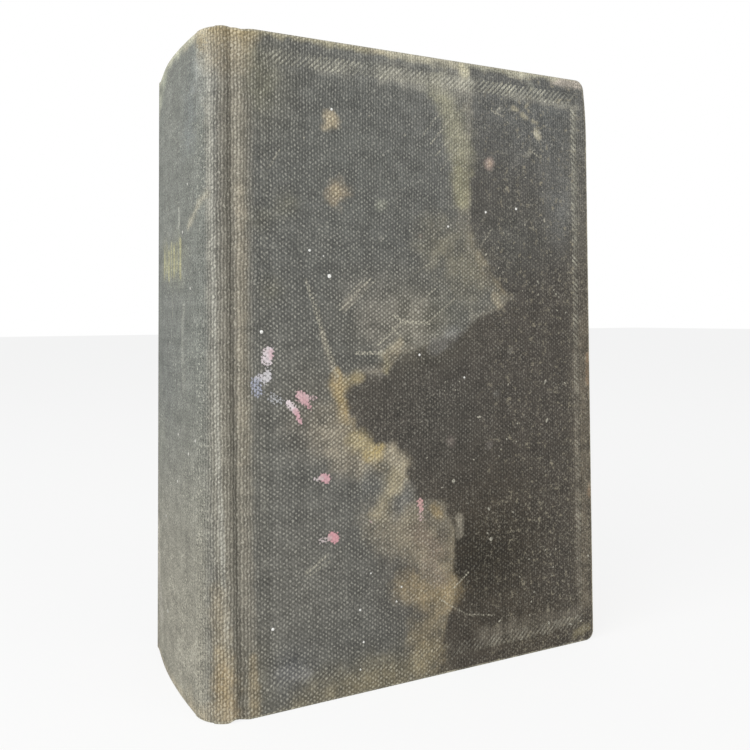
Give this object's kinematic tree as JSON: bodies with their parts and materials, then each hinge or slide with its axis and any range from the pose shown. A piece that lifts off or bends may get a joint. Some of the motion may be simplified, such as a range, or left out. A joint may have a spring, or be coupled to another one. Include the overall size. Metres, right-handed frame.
{
  "type": "hardback book",
  "caption": "Thick cloth-bound hardback book with a worn, stained cover, standing on its tail edge; the covers swing open on the joints beside the spine.",
  "frame": {"origin": "on the surface that the book stands on, under the middle of its overall box", "axes": "+X from the spine to the fore edge, +Y from the front cover to the back cover, +Z from the tail to the head"},
  "size_m": [0.1528, 0.075, 0.216],
  "materials": {
    "pages": "aged book paper, leaf edges toned and dusty",
    "endpaper": "plain uncoated endpaper, toned at the edges",
    "board": "grey-brown pressed board",
    "book_cloth": "faded black buckram, worn and water-stained",
    "spine_book_cloth": "faded black buckram, rubbed smooth and grey",
    "card": "thin pressed card",
    "lining_paper": "brown lining paper",
    "mull": "open stiffened cotton",
    "band_cloth": "sewn cotton bead in two tones, dusty"
  },
  "bodies": {
    "book_block": {"text_block": "pages", "front_flyleaf": "endpaper", "back_flyleaf": "endpaper", "spine_mull": "mull", "spine_lining": "lining_paper", "spine_inlay": "card", "spine_cloth": "spine_book_cloth", "head_band": "band_cloth", "tail_band": "band_cloth"},
    "front_cover": {"front_board": "board", "front_cover_cloth": "book_cloth", "front_mull_flap": "mull", "front_pastedown": "endpaper"},
    "back_cover": {"back_board": "board", "back_cover_cloth": "book_cloth", "back_mull_flap": "mull", "back_pastedown": "endpaper"}
  },
  "joints": [
    {"name": "front_cover_hinge", "type": "hinge", "parent": "book_block", "child": "front_cover", "pos_m": [-0.0665, -0.0375, 0.108], "axis": [0, 0, -1], "range_deg": [0, 180]},
    {"name": "back_cover_hinge", "type": "hinge", "parent": "book_block", "child": "back_cover", "pos_m": [-0.0665, 0.0375, 0.108], "axis": [0, 0, 1], "range_deg": [0, 180]}
  ]
}
